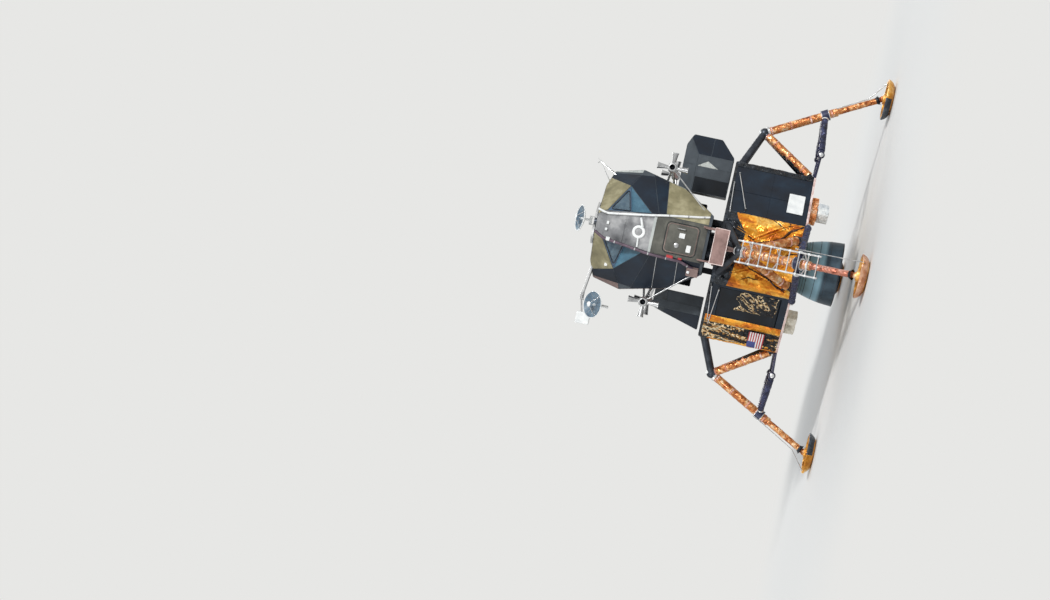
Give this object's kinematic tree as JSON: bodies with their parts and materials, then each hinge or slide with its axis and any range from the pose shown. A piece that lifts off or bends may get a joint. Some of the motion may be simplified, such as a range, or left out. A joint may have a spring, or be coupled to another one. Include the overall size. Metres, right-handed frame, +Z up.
{
  "type": "lunar lander",
  "caption": "Crewed lunar lander on braced legs: octagonal foil-wrapped descent stage, faceted cabin with hatches, dish aerials, thruster quads and a gimballed engine.",
  "frame": {"origin": "on the ground, midway between the footpads", "axes": "+Z up, -Y towards the ladder and the forward hatch, +X the side at the viewer's right from the front"},
  "size_m": [9.4, 9.4, 6.532],
  "materials": {
    "structure": "milled",
    "gold_foil": "crumpled metallised film",
    "crumpled_foil": "crumpled metallised film",
    "base_foil": "metallised film",
    "dark_panel": "matt thermal paint",
    "cabin_skin": "thin sheet, painted and anodised",
    "hatch_metal": "anodised",
    "bare_metal": "satin",
    "ladder_metal": "satin",
    "thruster_metal": "satin",
    "bell_metal": "coated refractory alloy",
    "porch_plate": "painted",
    "leg_foil": "wrapped metallised film",
    "strut_paint": "matt",
    "pad_foil": "wrapped metallised film",
    "dish_white": "white paint",
    "console_paint": "matt paint",
    "window_glass": "coated glass"
  },
  "bodies": {
    "lander": {"aft_bay": "dark_panel", "antenna_boom": "bare_metal", "ascent_engine": "structure", "base_heat_shield": "base_foil", "cabin_floor": "dark_panel", "cabin_front": "cabin_skin", "cabin_shell": "cabin_skin", "console": "console_paint", "dark_panels": "dark_panel", "descent_core": "structure", "docking_tunnel": "bare_metal", "drogue": "bare_metal", "footpad_aft": "pad_foil", "footpad_front": "pad_foil", "footpad_left": "pad_foil", "footpad_right": "pad_foil", "gold_blankets": "gold_foil", "ladder": "ladder_metal", "lower_boxes": "gold_foil", "midsection": "cabin_skin", "outrigger_aft": "leg_foil", "outrigger_front": "leg_foil", "outrigger_left": "leg_foil", "outrigger_right": "leg_foil", "porch": "porch_plate", "primary_strut_aft": "leg_foil", "primary_strut_front": "leg_foil", "primary_strut_left": "leg_foil", "primary_strut_right": "leg_foil", "quad_aft_left": "thruster_metal", "quad_aft_right": "thruster_metal", "quad_front_left": "thruster_metal", "quad_front_right": "thruster_metal", "radar_mount": "bare_metal", "side_struts_aft": "strut_paint", "side_struts_front": "strut_paint", "side_struts_left": "strut_paint", "side_struts_right": "strut_paint", "stage_posts": "dark_panel", "tank_bulge_left": "dark_panel", "tank_bulge_right": "dark_panel", "top_deck_blanket": "dark_panel", "whip_antenna": "bare_metal", "window_panes": "window_glass"},
    "bay_door": {"bay_door": "crumpled_foil"},
    "gimbal_ring": {"gimbal_ring": "bare_metal"},
    "descent_engine": {"descent_engine": "bell_metal"},
    "forward_hatch": {"forward_hatch": "hatch_metal"},
    "overhead_hatch": {"overhead_hatch": "hatch_metal"},
    "radar_yoke": {"radar_yoke": "bare_metal"},
    "radar_dish": {"radar_dish": "dish_white"},
    "antenna_head": {"antenna_head": "bare_metal"},
    "antenna_dish": {"antenna_dish": "dish_white"},
    "probe_front": {"probe_front": "bare_metal"},
    "probe_right": {"probe_right": "bare_metal"},
    "probe_aft": {"probe_aft": "bare_metal"},
    "probe_left": {"probe_left": "bare_metal"}
  },
  "joints": [
    {"name": "bay_door_hinge", "type": "hinge", "parent": "lander", "child": "bay_door", "pos_m": [-1.15733, -1.54624, 1.6], "axis": [0.7071, -0.7071, 0], "range_deg": [0, 90]},
    {"name": "engine_pitch", "type": "hinge", "parent": "lander", "child": "gimbal_ring", "pos_m": [0, 0, 2.15], "axis": [1, 0, 0], "range_deg": [-6, 6]},
    {"name": "engine_roll", "type": "hinge", "parent": "gimbal_ring", "child": "descent_engine", "pos_m": [0, 0, 2.15], "axis": [0, 1, 0], "range_deg": [-6, 6]},
    {"name": "forward_hatch_hinge", "type": "hinge", "parent": "lander", "child": "forward_hatch", "pos_m": [-0.375, -1.92, 4.06], "axis": [0, 0, 1], "range_deg": [0, 85]},
    {"name": "overhead_hatch_hinge", "type": "hinge", "parent": "lander", "child": "overhead_hatch", "pos_m": [0, 0.423, 5.82], "axis": [1, 0, 0], "range_deg": [0, 75]},
    {"name": "radar_shaft", "type": "hinge", "parent": "lander", "child": "radar_yoke", "pos_m": [0, -1.69, 6.1], "axis": [0, 0, 1], "range_deg": [-60, 60]},
    {"name": "radar_trunnion", "type": "hinge", "parent": "radar_yoke", "child": "radar_dish", "pos_m": [0, -1.69, 6.175], "axis": [1, 0, 0], "range_deg": [-40, 35]},
    {"name": "antenna_pitch", "type": "hinge", "parent": "lander", "child": "antenna_head", "pos_m": [-1.76, -0.9, 6.05], "axis": [1, 0, 0], "range_deg": [-30, 30]},
    {"name": "antenna_yaw", "type": "hinge", "parent": "antenna_head", "child": "antenna_dish", "pos_m": [-1.87, -1.14, 5.46], "axis": [0, 0, 1], "range_deg": [-40, 40]},
    {"name": "probe_hinge_front", "type": "hinge", "parent": "lander", "child": "probe_front", "pos_m": [0.3, -4.6638, 0.17], "axis": [1, 0, 0], "range_deg": [0, 215]},
    {"name": "probe_hinge_right", "type": "hinge", "parent": "lander", "child": "probe_right", "pos_m": [4.6638, 0.3, 0.17], "axis": [0, 1, 0], "range_deg": [0, 215]},
    {"name": "probe_hinge_aft", "type": "hinge", "parent": "lander", "child": "probe_aft", "pos_m": [-0.3, 4.6638, 0.17], "axis": [-1, 0, 0], "range_deg": [0, 215]},
    {"name": "probe_hinge_left", "type": "hinge", "parent": "lander", "child": "probe_left", "pos_m": [-4.6638, -0.3, 0.17], "axis": [0, -1, 0], "range_deg": [0, 215]}
  ]
}
